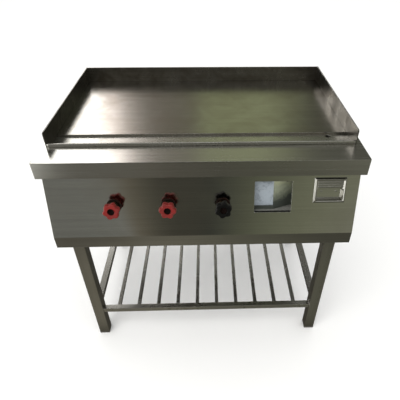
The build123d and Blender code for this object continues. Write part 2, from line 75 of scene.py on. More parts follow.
def mixColour(tree, factor, first, second, blend="MIX"):
    # a Mix node on colours; each input is a socket or a value
    node = addNode(tree, "ShaderNodeMix", {"data_type": "RGBA", "blend_type": blend})
    for socket, value in ((node.inputs[0], factor), (node.inputs[6], first), (node.inputs[7], second)):
        if isinstance(value, (int, float)):
            socket.default_value = value
        elif isinstance(value, (tuple, list)):
            socket.default_value = (*value, 1.0)
        else:
            tree.links.new(value, socket)
    return node.outputs[2]


def spread(tree, value, low, high, to0=0.0, to1=1.0, smooth=True):
    # maps low..high to to0..to1, eased
    node = addNode(tree, "ShaderNodeMapRange", {"interpolation_type": "SMOOTHSTEP" if smooth else "LINEAR"})
    tree.links.new(value, node.inputs["Value"])
    for name, number in (("From Min", low), ("From Max", high), ("To Min", to0), ("To Max", to1)):
        node.inputs[name].default_value = number
    return node.outputs["Result"]


def colourRamp(tree, value, stops, interpolation="LINEAR"):
    node = addNode(tree, "ShaderNodeValToRGB")
    ramp = node.color_ramp
    ramp.interpolation = interpolation
    while len(ramp.elements) < len(stops):
        ramp.elements.new(0.5)
    for element, (place, colour) in zip(ramp.elements, stops):
        element.position = place
        element.color = (*colour, 1.0)
    tree.links.new(value, node.inputs[0])
    return node.outputs[0]


def newGroup(name, inputs, outputs):
    group = bpy.data.node_groups.new(name, "ShaderNodeTree")
    for label, kind, value in inputs:
        socket = group.interface.new_socket(name=label, in_out="INPUT", socket_type=kind)
        socket.default_value = value
    for label, kind in outputs:
        group.interface.new_socket(name=label, in_out="OUTPUT", socket_type=kind)
    return group, addNode(group, "NodeGroupInput"), addNode(group, "NodeGroupOutput")


def useGroup(tree, group, values):
    node = addNode(tree, "ShaderNodeGroup", {"node_tree": group})
    for name, value in values.items():
        node.inputs[name].default_value = value
    return node


def makeGrain():
    # fine parallel lines: noise squeezed hard across the brushing and hardly along it
    group, start, end = newGroup(
        "brushGrain",
        [("Squeeze", "NodeSocketVector", (4.0, 900.0, 900.0)), ("Contrast", "NodeSocketFloat", 1.0)],
        [("Lines", "NodeSocketFloat"), ("Height", "NodeSocketFloat")],
    )
    place = addNode(group, "ShaderNodeTexCoord")
    scaled = addNode(group, "ShaderNodeVectorMath", {"operation": "MULTIPLY"})
    group.links.new(place.outputs["Object"], scaled.inputs[0])
    group.links.new(start.outputs["Squeeze"], scaled.inputs[1])
    fine = addNode(group, "ShaderNodeTexNoise", None, {"Scale": 1.0, "Detail": 4.0, "Roughness": 0.65})
    group.links.new(scaled.outputs[0], fine.inputs["Vector"])
    coarse = addNode(group, "ShaderNodeTexNoise", None, {"Scale": 0.23, "Detail": 2.0, "Roughness": 0.5})
    group.links.new(scaled.outputs[0], coarse.inputs["Vector"])
    halfFine = mathNode(group, "MULTIPLY", fine.outputs["Fac"], 0.5)
    both = mathNode(group, "MULTIPLY_ADD", coarse.outputs["Fac"], 0.5, halfFine)
    centred = mathNode(group, "SUBTRACT", both, 0.5)
    lines = mathNode(group, "MULTIPLY_ADD", centred, start.outputs["Contrast"], 0.5)
    group.links.new(lines, end.inputs["Lines"])
    group.links.new(fine.outputs["Fac"], end.inputs["Height"])
    return group


def makeSmudge():
    # soft cloudy marks from wiping and hands, 0 clean to 1 marked
    group, start, end = newGroup(
        "wipeMarks",
        [("Size", "NodeSocketFloat", 6.0), ("Cover", "NodeSocketFloat", 0.5)],
        [("Mask", "NodeSocketFloat")],
    )
    place = addNode(group, "ShaderNodeTexCoord")
    cloud = addNode(group, "ShaderNodeTexNoise", None, {"Detail": 5.0, "Roughness": 0.62, "Distortion": 0.6})
    group.links.new(place.outputs["Object"], cloud.inputs["Vector"])
    group.links.new(start.outputs["Size"], cloud.inputs["Scale"])
    low = mathNode(group, "SUBTRACT", 0.95, start.outputs["Cover"])
    shifted = mathNode(group, "SUBTRACT", cloud.outputs["Fac"], low)
    sharp = mathNode(group, "MULTIPLY", shifted, 3.0)
    node = addNode(group, "ShaderNodeClamp")
    group.links.new(sharp, node.inputs[0])
    group.links.new(node.outputs[0], end.inputs["Mask"])
    return group


def makeEdge():
    # where a face turns a corner: the rounded normal leaves the flat one; the mask is used to paint
    # highlights on corners
    group, start, end = newGroup(
        "edgeHighlight",
        [("Radius", "NodeSocketFloat", 0.0015), ("Gain", "NodeSocketFloat", 6.0)],
        [("Mask", "NodeSocketFloat"), ("Normal", "NodeSocketVector")],
    )
    rounded = addNode(group, "ShaderNodeBevel", {"samples": 4})
    group.links.new(start.outputs["Radius"], rounded.inputs["Radius"])
    flat = addNode(group, "ShaderNodeNewGeometry")
    dot = addNode(group, "ShaderNodeVectorMath", {"operation": "DOT_PRODUCT"})
    group.links.new(rounded.outputs[0], dot.inputs[0])
    group.links.new(flat.outputs["True Normal"], dot.inputs[1])
    away = mathNode(group, "SUBTRACT", 1.0, dot.outputs["Value"])
    scaled = mathNode(group, "MULTIPLY", away, start.outputs["Gain"])
    node = addNode(group, "ShaderNodeClamp")
    group.links.new(scaled, node.inputs[0])
    group.links.new(node.outputs[0], end.inputs["Mask"])
    group.links.new(rounded.outputs[0], end.inputs["Normal"])
    return group


grainGroup = makeGrain()
smudgeGroup = makeSmudge()
edgeGroup = makeEdge()
print("shared effects built")


def startMaterial(name):
    material = bpy.data.materials.new(name)
    material.use_nodes = True
    tree = material.node_tree
    shader = tree.nodes["Principled BSDF"]
    return material, tree, shader


def steelFinish(name, steel):
    # sheet or tube steel: brushed lines, wipe marks, corners lightened as a painted highlight
    material, tree, shader = startMaterial(name)
    grain = useGroup(tree, grainGroup, {"Squeeze": steel["squeeze"], "Contrast": steel["contrast"]})
    marks = useGroup(tree, smudgeGroup, {"Size": steel["markSize"], "Cover": steel["markCover"]})
    edge = useGroup(tree, edgeGroup, {"Radius": steel["edge"], "Gain": 5.0})
    lined = mixColour(tree, grain.outputs["Lines"], steel["dark"], steel["light"])
    stained = mathNode(tree, "MULTIPLY", marks.outputs["Mask"], steel["markDepth"])
    marked = mixColour(tree, stained, lined, steel["stain"])
    # painted highlight: the corners lean towards the bright tone
    edgeSheen = mathNode(tree, "MULTIPLY", edge.outputs["Mask"], steel["edgeGlow"])
    cornerLit = mixColour(tree, edgeSheen, marked, steel["bright"])
    tree.links.new(cornerLit, shader.inputs["Base Color"])
    rough = mathNode(tree, "MULTIPLY_ADD", grain.outputs["Lines"], steel["roughSwing"], steel["rough"])
    rough = mathNode(tree, "MULTIPLY_ADD", marks.outputs["Mask"], steel["markRough"], rough)
    tree.links.new(rough, shader.inputs["Roughness"])
    bump = addNode(tree, "ShaderNodeBump", None, {"Strength": steel["bump"], "Distance": 0.0004})
    tree.links.new(grain.outputs["Height"], bump.inputs["Height"])
    tree.links.new(edge.outputs["Normal"], bump.inputs["Normal"])
    tree.links.new(bump.outputs[0], shader.inputs["Normal"])
    shader.inputs["Metallic"].default_value = 1.0
    shader.inputs["Anisotropic"].default_value = steel["anisotropy"]
    # the tangent lies in the face, square to the finish's brushed direction
    flat = addNode(tree, "ShaderNodeNewGeometry")
    across = addNode(tree, "ShaderNodeVectorMath", {"operation": "CROSS_PRODUCT"})
    tree.links.new(flat.outputs["True Normal"], across.inputs[0])
    across.inputs[1].default_value = steel["brushed"]
    straight = addNode(tree, "ShaderNodeVectorMath", {"operation": "NORMALIZE"})
    tree.links.new(across.outputs[0], straight.inputs[0])
    tree.links.new(straight.outputs[0], shader.inputs["Tangent"])
    return material


def cover(names, material):
    for name in names:
        mesh = nodes[name].data
        mesh.materials.clear()
        mesh.materials.append(material)


sheetSteel = {
    "squeeze": (5.0, 700.0, 700.0), "contrast": 1.6,
    "dark": (0.42, 0.415, 0.39), "light": (0.58, 0.575, 0.54), "stain": (0.40, 0.385, 0.34),
    "bright": (0.82, 0.82, 0.79), "markSize": 5.0, "markCover": 0.55, "markDepth": 0.45,
    "rough": 0.17, "roughSwing": 0.10, "markRough": 0.07, "edge": 0.0012, "edgeGlow": 0.7,
    "bump": 0.06, "anisotropy": 0.6, "brushed": (1.0, 0.15, 0.0),
}
panelSteel = {**sheetSteel,
    "rough": 0.07, "roughSwing": 0.05, "anisotropy": 0.8, "contrast": 1.3, "brushed": (0.0, 0.2, 1.0),
}
plateSteel = {**sheetSteel,
    "squeeze": (7.0, 420.0, 420.0), "contrast": 1.9,
    "dark": (0.33, 0.325, 0.305), "light": (0.49, 0.48, 0.45), "stain": (0.27, 0.235, 0.18),
    "markSize": 9.0, "markCover": 0.62, "markDepth": 0.5, "rough": 0.13, "roughSwing": 0.10,
    "markRough": 0.07, "bump": 0.10, "anisotropy": 0.55,
}
guardSteel = {**sheetSteel,
    "dark": (0.21, 0.20, 0.18), "light": (0.33, 0.32, 0.29), "stain": (0.10, 0.085, 0.065),
    "markSize": 14.0, "markCover": 0.62, "markDepth": 0.8, "rough": 0.20, "markRough": 0.12,
}
tubeSteel = {**sheetSteel,
    "squeeze": (500.0, 500.0, 6.0), "brushed": (0.1, 0.1, 1.0), "rough": 0.22, "markCover": 0.6,
}
railSteel = {**sheetSteel, "squeeze": (6.0, 500.0, 500.0), "rough": 0.2}
barSteel = {**sheetSteel, "squeeze": (500.0, 6.0, 500.0), "brushed": (0.0, 1.0, 0.0), "rough": 0.2}
innerSteel = {**sheetSteel,
    "dark": (0.20, 0.20, 0.19), "light": (0.30, 0.30, 0.28), "rough": 0.38, "markDepth": 0.7,
    "anisotropy": 0.0,
}
burnerSteel = {**innerSteel,
    "dark": (0.07, 0.062, 0.055), "light": (0.13, 0.115, 0.10), "stain": (0.10, 0.05, 0.03), "rough": 0.55,
}
sideGuardSteel = {**guardSteel,
    "dark": (0.11, 0.105, 0.09), "light": (0.20, 0.19, 0.17), "stain": (0.05, 0.043, 0.032),
}
lipSteel = {**sheetSteel, "markSize": 22.0, "markDepth": 0.7, "rough": 0.2, "anisotropy": 0.3}
pressedSteel = {**sheetSteel, "rough": 0.14, "anisotropy": 0.3, "bump": 0.03, "edge": 0.0006}
sheet = steelFinish("sheetSteel", sheetSteel)
panel = steelFinish("panelSteel", panelSteel)
lip = steelFinish("lipSteel", lipSteel)
sideGuard = steelFinish("sideGuardSteel", sideGuardSteel)
pressed = steelFinish("pressedSteel", pressedSteel)
plate = steelFinish("plateSteel", plateSteel)
guard = steelFinish("guardSteel", guardSteel)
tube = steelFinish("tubeSteel", tubeSteel)
rail = steelFinish("railSteel", railSteel)
bar = steelFinish("barSteel", barSteel)
inner = steelFinish("innerSteel", innerSteel)
burner = steelFinish("burnerSteel", burnerSteel)


def brassFinish(name, brass):
    material, tree, shader = startMaterial(name)
    marks = useGroup(tree, smudgeGroup, {"Size": 60.0, "Cover": brass["tarnish"]})
    edge = useGroup(tree, edgeGroup, {"Radius": 0.0008, "Gain": 6.0})
    tone = mixColour(tree, marks.outputs["Mask"], brass["clean"], brass["dull"])
    # painted highlight: the corners lean towards the bright tone
    tone = mixColour(tree, mathNode(tree, "MULTIPLY", edge.outputs["Mask"], 0.6), tone, brass["bright"])
    tree.links.new(tone, shader.inputs["Base Color"])
    rough = mathNode(tree, "MULTIPLY_ADD", marks.outputs["Mask"], 0.25, brass["rough"])
    tree.links.new(rough, shader.inputs["Roughness"])
    tree.links.new(edge.outputs["Normal"], shader.inputs["Normal"])
    shader.inputs["Metallic"].default_value = 1.0
    return material


darkBrass = {
    "clean": (0.10, 0.075, 0.045), "dull": (0.04, 0.028, 0.018), "bright": (0.22, 0.17, 0.11),
    "rough": 0.35, "tarnish": 0.6,
}
turnedBrass = {
    "clean": (0.62, 0.48, 0.26), "dull": (0.36, 0.27, 0.14), "bright": (0.85, 0.72, 0.45),
    "rough": 0.25, "tarnish": 0.45,
}
copperPipe = {
    "clean": (0.60, 0.33, 0.22), "dull": (0.28, 0.15, 0.10), "bright": (0.8, 0.5, 0.36),
    "rough": 0.3, "tarnish": 0.5,
}
pipeZinc = {
    "clean": (0.34, 0.35, 0.34), "dull": (0.20, 0.20, 0.19), "bright": (0.55, 0.56, 0.55),
    "rough": 0.45, "tarnish": 0.55,
}
valveMetal = brassFinish("darkBrass", darkBrass)
spindleMetal = brassFinish("turnedBrass", turnedBrass)
pilotMetal = brassFinish("copperPipe", copperPipe)
pipeMetal = brassFinish("zincPipe", pipeZinc)


def plasticFinish(name, plastic):
    # moulded gloss plastic with greasy, duller patches
    material, tree, shader = startMaterial(name)
    marks = useGroup(tree, smudgeGroup, {"Size": plastic["markSize"], "Cover": 0.55})
    edge = useGroup(tree, edgeGroup, {"Radius": 0.001, "Gain": 4.0})
    grimy = mathNode(tree, "MULTIPLY", marks.outputs["Mask"], 0.6)
    tone = mixColour(tree, grimy, plastic["colour"], plastic["grimy"])
    # painted highlight: the corners lean towards a lighter tone
    tone = mixColour(tree, mathNode(tree, "MULTIPLY", edge.outputs["Mask"], 0.4), tone, plastic["edgeSheen"])
    tree.links.new(tone, shader.inputs["Base Color"])
    rough = mathNode(tree, "MULTIPLY_ADD", marks.outputs["Mask"], 0.25, plastic["rough"])
    tree.links.new(rough, shader.inputs["Roughness"])
    tree.links.new(edge.outputs["Normal"], shader.inputs["Normal"])
    shader.inputs["Specular IOR Level"].default_value = plastic["gloss"]
    return material


redKnob = {
    "colour": (0.18, 0.014, 0.012), "grimy": (0.08, 0.010, 0.008), "edgeSheen": (0.36, 0.045, 0.03),
    "rough": 0.22, "markSize": 70.0, "gloss": 0.4,
}
blackKnob = {
    "colour": (0.003, 0.003, 0.003), "grimy": (0.006, 0.0055, 0.005),
    "edgeSheen": (0.016, 0.016, 0.015), "rough": 0.16, "markSize": 70.0, "gloss": 0.2,
}
plugNylon = {
    "colour": (0.10, 0.095, 0.085), "grimy": (0.05, 0.046, 0.04), "edgeSheen": (0.16, 0.15, 0.14),
    "rough": 0.5, "markSize": 40.0, "gloss": 0.4,
}
redPlastic = plasticFinish("redPlastic", redKnob)
blackPlastic = plasticFinish("blackPlastic", blackKnob)
coreBlack = {
    "colour": (0.005, 0.002, 0.0015), "grimy": (0.008, 0.004, 0.003),
    "edgeSheen": (0.012, 0.005, 0.004), "rough": 0.5, "markSize": 90.0, "gloss": 0.08,
}
# painted shade: dark brown for the ring in each valve hole
holeShadeBrown = {
    "colour": (0.020, 0.009, 0.006), "grimy": (0.010, 0.006, 0.005),
    "edgeSheen": (0.05, 0.025, 0.018), "rough": 0.5, "markSize": 60.0, "gloss": 0.3,
}
# painted shade: black for the strip at the window's foot
footShadeBlack = {
    "colour": (0.006, 0.006, 0.006), "grimy": (0.016, 0.015, 0.013),
    "edgeSheen": (0.02, 0.02, 0.02), "rough": 0.7, "markSize": 50.0, "gloss": 0.2,
}
plugPlastic = plasticFinish("plugPlastic", plugNylon)
corePlastic = plasticFinish("corePlastic", coreBlack)
holeShadeFinish = plasticFinish("holeShadeBrown", holeShadeBrown)
footShadeFinish = plasticFinish("footShadeBlack", footShadeBlack)


def boardFinish():
    # pale mineral board: fibres, pits and grey stains
    material, tree, shader = startMaterial("fibreBoard")
    place = addNode(tree, "ShaderNodeTexCoord")
    pits = addNode(tree, "ShaderNodeTexNoise", None, {"Scale": 260.0, "Detail": 4.0, "Roughness": 0.7})
    cracked = {"Scale": 34.0, "Detail": 6.0, "Roughness": 0.75, "Distortion": 1.5}
    veins = addNode(tree, "ShaderNodeTexNoise", None, cracked)
    for texture in (pits, veins):
        tree.links.new(place.outputs["Object"], texture.inputs["Vector"])
    vein = spread(tree, veins.outputs["Fac"], 0.5, 0.62)
    tone = mixColour(tree, vein, (0.25, 0.285, 0.315), (0.12, 0.14, 0.155))
    tone = mixColour(tree, mathNode(tree, "MULTIPLY", pits.outputs["Fac"], 0.35), tone, (0.34, 0.375, 0.40))
    tree.links.new(tone, shader.inputs["Base Color"])
    bump = addNode(tree, "ShaderNodeBump", None, {"Strength": 0.5, "Distance": 0.0006})
    tree.links.new(pits.outputs["Fac"], bump.inputs["Height"])
    tree.links.new(bump.outputs[0], shader.inputs["Normal"])
    tree.links.new(mathNode(tree, "MULTIPLY_ADD", pits.outputs["Fac"], 0.2, 0.75), shader.inputs["Roughness"])
    return material


def spangleFinish():
    # zinc-coated sill: crystals of different greys with fine grit
    material, tree, shader = startMaterial("zincSill")
    place = addNode(tree, "ShaderNodeTexCoord")
    crystals = addNode(tree, "ShaderNodeTexVoronoi", {"feature": "F1"}, {"Scale": 210.0, "Randomness": 1.0})
    grit = addNode(tree, "ShaderNodeTexNoise", None, {"Scale": 500.0, "Detail": 3.0, "Roughness": 0.7})
    for texture in (crystals, grit):
        tree.links.new(place.outputs["Object"], texture.inputs["Vector"])
    grey = addNode(tree, "ShaderNodeRGBToBW")
    tree.links.new(crystals.outputs["Color"], grey.inputs[0])
    tone = mixColour(tree, grey.outputs[0], (0.22, 0.225, 0.21), (0.55, 0.55, 0.51))
    tone = mixColour(tree, mathNode(tree, "MULTIPLY", grit.outputs["Fac"], 0.5), tone, (0.60, 0.60, 0.56))
    tree.links.new(tone, shader.inputs["Base Color"])
    tree.links.new(mathNode(tree, "MULTIPLY_ADD", grey.outputs[0], 0.2, 0.45), shader.inputs["Roughness"])
    shader.inputs["Metallic"].default_value = 0.5
    return material


# painted light and shade for the window shield: lighter at the top, darker towards the foot
shieldLitToShaded = {"top": (0.62, 0.64, 0.42), "middle": (0.36, 0.39, 0.28), "low": (0.07, 0.080, 0.068)}


def shieldLitToShadedFinish():
    # steel by the burners: straw at the top with painted light, falling with painted shade to dark blue-grey
    # at the foot, with soft scale
    material, tree, shader = startMaterial("shieldLitToShaded")
    low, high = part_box("window_shield")
    place = addNode(tree, "ShaderNodeTexCoord")
    axes = addNode(tree, "ShaderNodeSeparateXYZ")
    tree.links.new(place.outputs["Object"], axes.inputs[0])
    scale = {"Scale": 40.0, "Detail": 5.0, "Roughness": 0.6, "Distortion": 0.8}
    cloud = addNode(tree, "ShaderNodeTexNoise", None, scale)
    tree.links.new(place.outputs["Object"], cloud.inputs["Vector"])
    height = spread(tree, axes.outputs[2], low.z, high.z, 0.0, 1.0, False)
    wavy = mathNode(tree, "MULTIPLY_ADD", mathNode(tree, "SUBTRACT", cloud.outputs["Fac"], 0.5), 0.5, height)
    stops = [(0.22, shieldLitToShaded["low"]), (0.52, shieldLitToShaded["middle"]), (0.80, shieldLitToShaded["top"])]
    tone = colourRamp(tree, wavy, stops)
    tree.links.new(tone, shader.inputs["Base Color"])
    rough = mathNode(tree, "MULTIPLY_ADD", cloud.outputs["Fac"], 0.2, 0.35)
    tree.links.new(rough, shader.inputs["Roughness"])
    shader.inputs["Metallic"].default_value = 0.25
    return material


board = boardFinish()
sill = spangleFinish()
litShadedShield = shieldLitToShadedFinish()

cover(["worktop", "back_panel"], sheet)
cover(["control_panel", "left_side_panel", "right_side_panel"], panel)
cover(["drawer_tray", "drawer_front"], sheet)
cover(["window_shield"], litShadedShield)
cover(["griddle_plate"], plate)
cover(["back_guard", "drain_spout"], guard)
cover(["left_guard", "right_guard"], sideGuard)
cover(["grease_trough"], lip)
cover([name for name in nodes if name.endswith("_leg")], tube)
cover(["front_shelf_rail", "rear_shelf_rail"], rail)
cover(["left_shelf_rail", "right_shelf_rail"], bar)
cover([name for name in nodes if name.startswith("shelf_bar")], bar)
cover(["front_support_rail", "rear_support_rail", "left_burner_rail", "right_burner_rail"], inner)
cover(["left_drawer_guide", "right_drawer_guide"], inner)
cover([name for name in nodes if name.startswith(("burner_", "air_shutter"))], burner)
cover([name for name in nodes if name.startswith("valve")], valveMetal)
cover([name for name in nodes if name.startswith("spindle")], spindleMetal)
cover(["gas_manifold"], pipeMetal)
cover(["pilot_tube"], pilotMetal)
cover(["knob_1", "knob_2"], redPlastic)
cover(["knob_3"], blackPlastic)
cover([name for name in nodes if name.endswith("_plug")], plugPlastic)
cover(["window_board"], board)
cover(["window_ledge"], sill)
print("finishes placed")

# pieces made in this script, each a numpy surface placed by the imported model
out = np.array(joints["left_knob_turn"]["axis"], float)  # away from the slanted panel
across = np.array([1.0, 0.0, 0.0])
down = np.cross(across, out)  # down the slanted panel


def vertices(name):
    mesh = nodes[name].data
    places = np.empty(3 * len(mesh.vertices))
    mesh.vertices.foreach_get("co", places)
    return places.reshape(-1, 3)


def slopeBox(name):
    # lowest and highest of a node across, down and out of the slanted panel
    places = vertices(name) @ np.stack([across, down, out]).T
    return places.min(0), places.max(0)


def onSlope(x, s, h):
    # the point x across, s down the slope and h out of it
    return x[..., None] * across + s[..., None] * down + h[..., None] * out


def placePiece(name, mesh, material, body, smooth=True):
    mesh.polygons.foreach_set("use_smooth", np.full(len(mesh.polygons), smooth))
    mesh.materials.append(material)
    piece = bpy.data.objects.new(name, mesh)
    bpy.context.scene.collection.objects.link(piece)
    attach(piece, body)
    return piece


def ringPiece(name, rings, material, body, loop=False):
    # rings[i, j] is point j of closed section i; a loop joins its ends, else each end gets a pole
    count, around = rings.shape[:2]
    section = np.arange(count if loop else count - 1)[:, None]
    step = np.arange(around)[None, :]
    following = (section + 1) % count
    quads = np.stack([
        section * around + step, section * around + (step + 1) % around,
        following * around + (step + 1) % around, following * around + step,
    ], -1).reshape(-1, 4)
    points = rings.reshape(-1, 3)
    caps = np.empty((0, 3), int)
    if not loop:
        first, last = len(points), len(points) + 1
        points = np.vstack([points, rings[0].mean(0), rings[-1].mean(0)])
        ends = np.arange(around)
        turned = (ends + 1) % around
        start = np.stack([np.full(around, first), turned, ends], -1)
        base = (count - 1) * around
        finish = np.stack([np.full(around, last), base + ends, base + turned], -1)
        caps = np.vstack([start, finish])
    # signed volume tells which way the faces look
    corners = points[np.vstack([quads[:, :3], quads[:, [0, 2, 3]], caps])]
    volume = np.einsum("ij,ij->i", corners[:, 0], np.cross(corners[:, 1], corners[:, 2])).sum()
    if volume < 0:
        quads, caps = quads[:, ::-1], caps[:, ::-1]
    mesh = bpy.data.meshes.new(name)
    mesh.from_pydata(points.tolist(), [], quads.tolist() + caps.tolist())
    return placePiece(name, mesh, material, body)


def softened(points, rounds=3):
    # corners cut again and again: each run keeps its points at a quarter and three quarters
    points = np.array(points, float)
    for _ in range(rounds):
        near = points[:-1] * 0.75 + points[1:] * 0.25
        far = points[:-1] * 0.25 + points[1:] * 0.75
        points = np.vstack([points[:1], np.stack([near, far], 1).reshape(-1, points.shape[1]), points[-1:]])
    return points


starKnob = {
    "lobes": 6, "valley": 0.0205, "peak": 0.0250, "cup": 0.0098, "cupDepth": 0.009, "steps": 120,
}


def makeKnob(number, joint, body, material):
    # a turned profile whose outer radius swings between valley and peak six times round
    node = f"knob_{number}"
    centre = np.array(joints[joint]["pos_m"])
    places = vertices(node) - centre
    depth = places @ out
    back, front = depth.min() + 0.006, depth.max()
    sideways = places @ across
    lengthways = places @ down
    farthest = np.argmax(np.hypot(sideways, lengthways))
    turn0 = math.atan2(lengthways[farthest], sideways[farthest])
    turn = np.linspace(0, 2 * np.pi, starKnob["steps"], endpoint=False)
    wave = (0.5 + 0.5 * np.cos(starKnob["lobes"] * (turn - turn0))) ** 0.8
    outline = starKnob["valley"] + (starKnob["peak"] - starKnob["valley"]) * wave
    cup = starKnob["cup"]
    floor = front - starKnob["cupDepth"]
    # each row: fixed radius, share of the outline, depth along the axis
    profile = softened([
        (0.001, 0, back - 0.006), (0.0125, 0, back - 0.006), (0.0125, 0, back), (0, 0.70, back),
        (0, 0.97, back + 0.0005), (0, 1.0, back + 0.004), (0, 0.98, front - 0.005), (0, 0.93, front - 0.001),
        (0, 0.80, front), (0, 0.62, front - 0.0008),
        (cup + 0.002, 0, front - 0.0004), (cup, 0, front - 0.001),
        (cup - 0.0006, 0, floor), (0.001, 0, floor),
    ])
    radius = profile[:, :1] + profile[:, 1:2] * outline[None, :]
    rings = centre + radius[..., None] * (
        np.cos(turn)[None, :, None] * across + np.sin(turn)[None, :, None] * down
    ) + profile[:, 2][:, None, None] * out
    knob = ringPiece(f"star_knob_{number}", rings, material, body)
    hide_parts(node)
    # a dark cap sunk in the cup: a shallow dome with a rounded edge
    lining = softened([
        (0.0005, floor - 0.001), (cup - 0.0002, floor - 0.001), (cup - 0.0002, front - 0.0022),
        (cup - 0.0018, front - 0.0022), (cup - 0.0030, floor + 0.003),
        (0.003, floor + 0.0022), (0.0005, floor + 0.002),
    ])
    rings = centre + lining[:, 0][:, None, None] * (
        np.cos(turn)[None, ::3, None] * across + np.sin(turn)[None, ::3, None] * down
    ) + lining[:, 1][:, None, None] * out
    ringPiece(f"knob_core_{number}", rings, corePlastic, body)


holeShade = {
    "inner": 0.0128, "outer": 0.0222, "depth": 0.0030, "half": 0.0011, "dish": 0.0035,
}


def makeHoleShade(number, joint):
    # painted shade: a dark dished ring in the panel's hole round a valve, standing for the shade inside the
    # hole: a flat oval carried round the axis
    level = slopeBox("control_panel")[1][2] - holeShade["depth"]
    centre = np.array(joints[joint]["pos_m"])
    centre = centre + (level - centre @ out) * out
    section = np.linspace(0, 2 * np.pi, 28, endpoint=False)[:, None]
    turn = np.linspace(0, 2 * np.pi, 72, endpoint=False)[None, :]
    half = (holeShade["outer"] - holeShade["inner"]) / 2
    radius = holeShade["inner"] + half + half * np.sign(np.cos(section)) * np.abs(np.cos(section)) ** 0.6
    share = (radius - holeShade["inner"]) / (2 * half)
    depth = holeShade["half"] * np.sin(section) - holeShade["dish"] * (1 - share) ** 2
    ring = radius * np.cos(turn)
    side = radius * np.sin(turn)
    depth = depth + 0 * turn
    rings = centre + ring[..., None] * across + side[..., None] * down + depth[..., None] * out
    ringPiece(f"valve_hole_shade_{number}", rings, holeShadeFinish, "frame", loop=True)


for number, joint in enumerate(("left_knob_turn", "middle_knob_turn", "pilot_knob_turn"), 1):
    makeHoleShade(number, joint)
makeKnob(1, "left_knob_turn", "left_knob", redPlastic)
makeKnob(2, "middle_knob_turn", "middle_knob", redPlastic)
makeKnob(3, "pilot_knob_turn", "pilot_knob", blackPlastic)
print("knobs made")


def rounded(x, s, halfX, halfS, corner):
    # signed distance to a rectangle with round corners, negative inside
    qx, qs = np.abs(x) - halfX + corner, np.abs(s) - halfS + corner
    outside = np.hypot(np.maximum(qx, 0), np.maximum(qs, 0))
    return outside + np.minimum(np.maximum(qx, qs), 0) - corner


def eased(value):
    value = np.clip(value, 0, 1)
    return value * value * (3 - 2 * value)


pull = {
    "rise": 0.0036, "bevel": 0.0034, "rimHeight": 0.0016, "rimWidth": 0.0016,
    "marginX": 0.0060, "marginTop": 0.0055, "marginFoot": 0.0065, "shallow": 0.0036, "deep": 0.0145,
    "step": 0.034, "ribs": (0.0125, 0.0195, 0.0265), "ribRise": 0.0036, "ribWidth": 0.0020, "wall": 0.0065,
    "rivetX": 0.021, "rivetDrop": 0.045, "rivetRadius": 0.0026, "sheet": 0.0012,
}


def makePull():
    # pressed plate: height is a bevelled frame, minus a stepped recess, plus ribs, a rim and two rivets
    low, high = slopeBox("drawer_front")
    faceHigh = slopeBox("control_panel")[1]
    halfX, halfS = (high[0] - low[0]) / 2, (high[1] - low[1]) / 2
    midX, midS, level = (high[0] + low[0]) / 2, (high[1] + low[1]) / 2, faceHigh[2] + 0.0014
    x, s = np.meshgrid(np.linspace(-halfX, halfX, 185), np.linspace(-halfS, halfS, 155))
    outer = rounded(x, s, halfX, halfS, 0.004)
    height = pull["rise"] * eased(-outer / pull["bevel"])
    recessMid = (pull["marginTop"] - pull["marginFoot"]) / 2
    recessHalf = halfS - (pull["marginTop"] + pull["marginFoot"]) / 2
    recess = rounded(x, s - recessMid, halfX - pull["marginX"], recessHalf, 0.003)
    height += pull["rimHeight"] * np.exp(-(((recess - 0.0016) / pull["rimWidth"]) ** 2))
    drop = s + halfS
    depth = pull["shallow"] + (pull["deep"] - pull["shallow"]) * eased((drop - pull["step"]) / 0.005)
    inside = eased(-recess / pull["wall"])
    height -= depth * inside
    rib = sum(np.exp(-(((drop - place) / pull["ribWidth"]) ** 2)) for place in pull["ribs"])
    height += pull["ribRise"] * rib * eased((-recess - 0.003) / 0.003)
    for side in (-1, 1):
        away = np.hypot(x - side * pull["rivetX"], drop - pull["rivetDrop"]) / pull["rivetRadius"]
        height += 0.0014 * np.sqrt(np.clip(1 - away ** 2, 0, 1))
    grid = onSlope(x + midX, s + midS, level + height)
    rows, columns = x.shape
    row, column = np.arange(rows - 1)[:, None], np.arange(columns - 1)[None, :]
    corner = row * columns + column
    quads = np.stack([corner, corner + columns, corner + columns + 1, corner + 1], -1).reshape(-1, 4)
    points = grid.reshape(-1, 3)
    normal = np.cross(points[quads[0, 1]] - points[quads[0, 0]], points[quads[0, 3]] - points[quads[0, 0]])
    if normal @ out < 0:
        quads = quads[:, ::-1]
    mesh = bpy.data.meshes.new("pressed_pull")
    mesh.from_pydata(points.tolist(), [], quads.tolist())
    piece = placePiece("pressed_pull", mesh, pressed, "drawer")
    wall = piece.modifiers.new("wall", "SOLIDIFY")
    wall.thickness = pull["sheet"]
    wall.offset = -1.0
    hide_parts("drawer_front")


makePull()
print("drawer pull made")

bead = {"proud": 0.0006, "height": 0.0102, "depth": 0.0060, "power": 0.75, "inset": 0.0004}


def makeLip():
    # rolled front of the grease channel: a soft square section carried across between the guards
    low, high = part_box("grease_trough")
    along = np.linspace(0, 1, 160)[:, None]
    turn = np.linspace(0, 2 * np.pi, 32, endpoint=False)[None, :]
    squareC = np.sign(np.cos(turn)) * np.abs(np.cos(turn)) ** bead["power"]
    squareS = np.sign(np.sin(turn)) * np.abs(np.sin(turn)) ** bead["power"]
    wave = 1 + 0.03 * np.sin(along * 41.0) * np.sin(along * 17.0)
    x = low.x + bead["inset"] + (high.x - low.x - 2 * bead["inset"]) * along + 0 * turn
    y = low.y + bead["depth"] / 2 + (bead["depth"] / 2 + bead["proud"]) * squareC * wave
    z = high.z - bead["height"] / 2 + (bead["height"] / 2 + bead["proud"]) * squareS * wave
    ringPiece("rolled_lip", np.stack([x, y, z], -1), lip, "frame")


makeLip()
print("rolled lip made")

footShade = {
    "belowBoard": 0.0125, "boardLap": 0.009, "shieldLap": 0.016, "halfWidth": 0.0024,
    "halfDepth": 0.0012, "behind": 0.0034,
}


